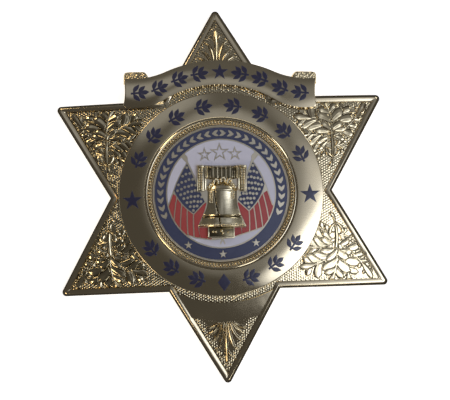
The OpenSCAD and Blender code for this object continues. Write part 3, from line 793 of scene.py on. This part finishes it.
# The block's last argument is the painted shade it gets: a dull dark colour.
def block(bm, low, high, top, edge=0.12, painted_shade=0.0):
    """A block with soft upper edges, between two corners on the seal's face."""
    shape = bmesh.ops.create_cube(bm, size=1)
    set_painted_shade(bm, shape["verts"], painted_shade)
    size = (high[0] - low[0], high[1] - low[1], top + INTO_SEAL)
    middle = ((low[0] + high[0]) / 2, (low[1] + high[1]) / 2, (top - INTO_SEAL) / 2)
    bmesh.ops.scale(bm, verts=shape["verts"], vec=size)
    bmesh.ops.translate(bm, verts=shape["verts"], vec=middle)
    edges = {e for v in shape["verts"] for e in v.link_edges}
    round_over(bm, [e for e in edges if max(v.co.z for v in e.verts) > top - 0.01], edge)


bm = new_shape()
across = np.linspace(-1, 1, 97)
body = sheet(bm, [[bell_point(u, row) for u in across] for row in blend_rows(BELL_ROWS, 3)])
# Painted shade in the groove over the lip and along the crack.
shaded_points = [v for line in body for v in line if GROOVE_LOW < v.co.y < GROOVE_TOP or (
    v.co.y < CRACK_TOP and abs(v.co.x - BELL_X - crack_x(v.co.y)) < 0.14)]
set_painted_shade(bm, shaded_points, 0.9)
# Beads of the crown along the shoulder, and its three loops on top
for turn in (-75, -58, -40, 40, 58, 75):
    a = math.radians(turn)
    spot = (BELL_X + 2.7 * math.sin(a), 0.5 + 2.0 * math.cos(a) ** 0.8, 0.62 + 0.25 * math.cos(a))
    ball(bm, spot, 0.34)
for x, y in ((-1.15, 2.3), (0.25, 2.6), (1.55, 2.3)):
    for k in range(9):
        a = math.radians(-20 + k * 27.5)
        ball(bm, (BELL_X + x + 0.45 * math.cos(a), y - 0.1 + 0.55 * math.sin(a), 1.05), 0.24)
# Studs down both sides of the waist, and a bead line along the lip
for side, studs in ((-1, 6), (1, 4)):
    for i in range(2):
        for k in range(studs):
            ball(bm, bell_point(side * (0.62 + i * 0.16), (0.3 - k * 0.42, 3.0, 0.04)), 0.21)
for i in range(-14, 15):
    ball(bm, bell_point(i / 15.2, (-6.42, 4.7, -0.34)), 0.16)
# Yoke: upright ribs over a sunk middle, between two arms with studs in pairs
YOKE_MID, YOKE_HALF = 4.1, 1.35


def rib_height(x):
    """Height across the yoke: five flat ribs, a ripple on both sides, and a ledge at each end."""
    off = abs(x - BELL_X)
    ribs = 0.46 * min(1.6 * max(math.cos((x - BELL_X) * 7.3), 0), 1) * (off < 1.94)
    ripple = 0.2 * (off > 2.1) * (0.5 + 0.5 * math.sin(x * 14))
    return 0.62 + ribs + ripple + 0.25 * (abs(off - 3.05) < 0.2)


def yoke_point(x, y):
    """A point of the yoke, which sags to its middle and has a fine bead under its upper edge."""
    up = y - YOKE_MID
    bead = 0.2 * math.exp(-((y - 5.2) / 0.12) ** 2)
    z = rib_height(x) - 0.05 * up - 0.2 * abs(up / YOKE_HALF) ** 6 + bead
    return x, y - 0.12 * math.cos((x - BELL_X) * 0.9), z


yoke_rows = np.linspace(YOKE_MID - YOKE_HALF, YOKE_MID + YOKE_HALF, 25)
yoke = sheet(bm, [[yoke_point(x, y) for x in np.linspace(-3.3, 3.7, 211)] for y in yoke_rows])
# Painted shade between the yoke's ribs.
set_painted_shade(bm, [v for line in yoke for v in line if v.co.z < 0.8], 1)
# The arms' sunk ground gets painted shade; their ledges, rails and studs get none.
for low_x, high_x, outside in ((-4.75, -3.35, -4.72), (3.75, 5.15, 5.0)):
    block(bm, (low_x, 0.35), (high_x, 5.5), 0.55, painted_shade=0.6)
    block(bm, (low_x + 0.05, 5.2), (high_x - 0.05, 5.6), 1.0, 0.1)
    block(bm, (outside, 0.4), (outside + 0.12, 5.4), 0.7, 0.04)
    for i in range(9):
        for x in (0.42, 0.98):
            ball(bm, (low_x + x, 0.8 + i * 0.51, 0.6), 0.23)
for low_x, high_x in ((-3.3, -2.95), (3.4, 3.75)):
    block(bm, (low_x, 0.6), (high_x, 5.3), 0.75, 0.12)
# Foot block: a low plinth with a frame and five lumps
# The plinth gets painted shade; the frame and the lumps get none.
block(bm, (-2.6, -8.95), (2.6, -6.9), 0.45, painted_shade=1.0)
block(bm, (-2.7, -9.05), (2.7, -8.75), 0.75, 0.1)
for low_x in (-2.65, 2.4):
    block(bm, (low_x, -8.9), (low_x + 0.25, -6.9), 0.7, 0.08)
for x, y, size in ((-1.6, -7.8, 0.3), (-1.0, -7.8, 0.3), (0.15, -7.6, 0.42), (0.4, -8.1, 0.34),
                   (1.5, -7.9, 0.22)):
    ball(bm, (x, y, 0.5), size, 0.9)
bm.transform(Matrix.Translation((0, 0, SEAL_FACE)) @ Matrix.Rotation(math.radians(-1.7), 4, "Z"))
bm.transform(Matrix.Scale(MM, 4))
finish_piece("bell_relief", bm, cast_gold, ["bell"], 40)


# Pin: a nickel brooch pin soldered across the back: a strip that follows the dome, a barrel joint,
# a sprung stem ground to a point, and a turned-over catch.
nickel_plate, tree, shader, place = new_finish("nickel_plate")
grain = add(tree, "ShaderNodeTexNoise", Vector=place, Scale=per_mm(0.7), Detail=6.0)
tone = add(tree, "ShaderNodeMix", {"data_type": "RGBA"}, Factor=grain.outputs["Fac"],
           _6=linear("#B9B5AC"), _7=linear("#D2CEC5"))
rough = add(tree, "ShaderNodeMapRange", Value=grain.outputs["Fac"], To_Min=0.2, To_Max=0.42)
tree.links.new(tone.outputs[2], shader.inputs["Base Color"])
tree.links.new(rough.outputs["Result"], shader.inputs["Roughness"])
shader.inputs["Metallic"].default_value = 1.0
PIN_Y, PIN_HALF = 6, 13
STEM_R, STEM_Z = 0.55, 1.75
STRIP_Z, STRIP_T = -0.7, 0.66
CHEEK_T, HOOK_W = 0.5, 2.6
bm = bmesh.new()
strip = [bm.verts.new((x, y, STRIP_Z)) for x, y in (
    (15.9, -0.8), (15.9, 0.8), (15.3, 1.5), (11.5, 2.1), (10.0, 1.5), (-10.0, 1.5), (-11.5, 2.1),
    (-15.3, 1.5), (-15.9, 0.8), (-15.9, -0.8), (-15.3, -1.5), (-11.5, -2.1), (-10.0, -1.5),
    (10.0, -1.5), (11.5, -2.1), (15.3, -1.5))]
top = bmesh.ops.extrude_face_region(bm, geom=[bm.faces.new(strip)])
bmesh.ops.translate(bm, verts=points_of(top), vec=(0, 0, STRIP_T))
round_over(bm, edges_at(bm, STRIP_Z), 0.12)
cut_grid(bm, -16, 16, 1)
for v in bm.verts:
    v.co.y += PIN_Y
    v.co.z += skin(math.hypot(v.co.x, v.co.y))


def rod(bm, start, end, sizes):
    """A round bar between two points, with its radius given at even steps."""
    start, end = Vector(start), Vector(end)
    turned = (end - start).to_track_quat("Z", "Y")
    way_round = [Vector((math.cos(a), math.sin(a), 0))
                 for a in np.linspace(0, math.tau, 24, endpoint=False)]
    rings = []
    for i, size in enumerate(sizes):
        centre = start.lerp(end, i / (len(sizes) - 1))
        rings.append([bm.verts.new(centre + turned @ (way * size)) for way in way_round])
    for lower, upper in zip(rings, rings[1:]):
        for i in range(len(lower)):
            bm.faces.new((lower[i - 1], lower[i], upper[i], upper[i - 1]))
    bm.faces.new(rings[0])
    bm.faces.new(rings[-1])


# Stem and barrel
rod(bm, (-PIN_HALF, PIN_Y, STEM_Z), (PIN_HALF + 1.2, PIN_Y, STEM_Z),
    [STEM_R] * 10 + [0.45, 0.3, 0.12])
rod(bm, (-PIN_HALF, PIN_Y - 1.5, STEM_Z + 0.2), (-PIN_HALF, PIN_Y + 1.5, STEM_Z + 0.2),
    [0.85, 1.0, 1.0, 0.85])
# Cheeks of the joint and the hook of the catch
for y in (-1.75, 1.25):
    cheek = [bm.verts.new((-PIN_HALF + x, PIN_Y + y, z)) for x, z in
             ((-1.5, 4.2), (-1.35, 1.6), (-0.8, 0.9), (0.8, 0.9), (1.35, 1.6), (1.5, 4.2))]
    side = bmesh.ops.extrude_face_region(bm, geom=[bm.faces.new(cheek)])
    bmesh.ops.translate(bm, verts=points_of(side), vec=(0, CHEEK_T, 0))
hook = [bm.verts.new((PIN_HALF - HOOK_W / 2, PIN_Y + y, z)) for y, z in (
    (1.55, 4.2), (1.55, 1.7), (1.3, 1.1), (0.7, 0.75), (0, 0.7), (-0.7, 0.75), (-1.2, 1.1),
    (-1.4, 1.6), (-1.0, 1.8), (-0.75, 1.4), (0, 1.05), (0.75, 1.4), (1.05, 2.0), (1.05, 4.2))]
side = bmesh.ops.extrude_face_region(bm, geom=[bm.faces.new(hook)])
bmesh.ops.translate(bm, verts=points_of(side), vec=(HOOK_W, 0, 0))
bm.transform(Matrix.Scale(MM, 4))
finish_piece("brooch_pin", bm, nickel_plate, ["pin_back"])


# Table: a light table with a matt white top that glows a little, so that the badge lies on a plain
# pale floor without a hard shadow.
TABLE_HALF = 1.5
floor_finish, _, shader, _ = new_finish("white_light_table")
shader.inputs["Base Color"].default_value = linear("#F3F2F0")
shader.inputs["Roughness"].default_value = 0.7
shader.inputs["Emission Color"].default_value = linear("#FFFFFF")
shader.inputs["Emission Strength"].default_value = 0.75
bm = bmesh.new()
bmesh.ops.create_grid(bm, x_segments=1, y_segments=1, size=TABLE_HALF)
mesh = bpy.data.meshes.new("floor")
bm.to_mesh(mesh)
bm.free()
mesh.materials.append(floor_finish)
floor = bpy.data.objects.new("floor", mesh)
bpy.context.scene.collection.objects.link(floor)


# Room: dim and grey, with soft glows that the buffed gold mirrors, and four lamps low around the
# badge that pick out the relief.
GLOWS = [  # direction, full to, fades to, strength
    ((0.29, -0.195), 0.10, 0.23, 1.65),
    ((0.40, -0.05), 0.12, 0.42, 0.7),
    ((0.50, -0.16), 0.15, 0.32, 2.0),
    ((0.0, 0.22), 0.03, 0.16, 0.24),
    ((0.0, 0.52), 0.2, 0.5, 0.05),
    ((-0.24, 0.44), 0.08, 0.24, 0.25),
    ((0.46, 0.34), 0.14, 0.4, 0.17),
    ((0.02, 0.05), 0.06, 0.24, 0.13),
]
LAMP_FAR = 1.2
COOL, WARM = "#F4F8FF", "#FFEBCB"
world = bpy.data.worlds.new("room")
bpy.context.scene.world = world
world.use_nodes = True
tree = world.node_tree
way_out = add(tree, "ShaderNodeTexCoord").outputs["Generated"]
total = None
for (gx, gy), full, fades, strength in GLOWS:
    aim = (gx, gy, math.sqrt(1 - gx * gx - gy * gy))
    off = add(tree, "ShaderNodeVectorMath", {"operation": "DISTANCE"}, _0=way_out, _1=aim)
    glow = add(tree, "ShaderNodeMapRange", {"interpolation_type": "SMOOTHERSTEP"},
               Value=off.outputs["Value"], From_Min=full, From_Max=fades, To_Min=strength,
               To_Max=0.0).outputs["Result"]
    total = glow if total is None else add(tree, "ShaderNodeMath", {"operation": "ADD"}, _0=total,
                                           _1=glow).outputs["Value"]
room = tree.nodes["Background"]
room.inputs["Color"].default_value = linear("#4F4F51")
glow_light = add(tree, "ShaderNodeBackground", Color=(0.88, 0.98, 1.26, 1), Strength=total)
both = add(tree, "ShaderNodeAddShader", _0=room.outputs["Background"],
           _1=glow_light.outputs["Background"])
tree.links.new(both.outputs["Shader"], tree.nodes["World Output"].inputs["Surface"])


def lamp(name, bearing, off_zenith, size, power, colour):
    """A round soft light aimed at the badge. bearing is in degrees clockwise from the upper point,
    off_zenith in degrees down from straight above, size in metres and power in watts."""
    light = bpy.data.lights.new(name, "AREA")
    light.shape = "DISK"
    light.size = size
    light.energy = power
    light.color = linear(colour)[:3]
    obj = bpy.data.objects.new(name, light)
    b, o = math.radians(bearing), math.radians(off_zenith)
    way = Vector((math.sin(b) * math.sin(o), math.cos(b) * math.sin(o), math.cos(o)))
    obj.location = way * LAMP_FAR
    obj.rotation_euler = (-way).to_track_quat("-Z", "Y").to_euler()
    bpy.context.scene.collection.objects.link(obj)


lamp("lamp_upper_left", 320, 57, 0.3, 1.7, WARM)
lamp("lamp_upper_right", 50, 57, 0.34, 1.4, COOL)
lamp("lamp_low_left", 235, 51, 0.34, 1.8, WARM)
lamp("lamp_low", 160, 50, 0.32, 0.95, COOL)


# Camera: above the badge and a little towards its lower point, where the photo's was. Its place is
# in millimetres.
EYE = Vector((4.6, -23.78, 299.02))
LOOK = Vector((-0.0131, 0.0764, -0.9970)).normalized()
UPWARD = Vector((0.0373, 0.9964, 0.0759))
camera = bpy.data.cameras.new("camera")
camera.lens = 116.65
camera.sensor_width = 36
camera.clip_start = 0.01
eye = bpy.data.objects.new("camera", camera)
right = LOOK.cross(UPWARD).normalized()
turned = Matrix((right, right.cross(LOOK), -LOOK)).transposed().to_4x4()
eye.matrix_world = Matrix.Translation(EYE * MM) @ turned
bpy.context.scene.collection.objects.link(eye)
bpy.context.scene.camera = eye
bpy.context.scene.view_settings.view_transform = "Standard"
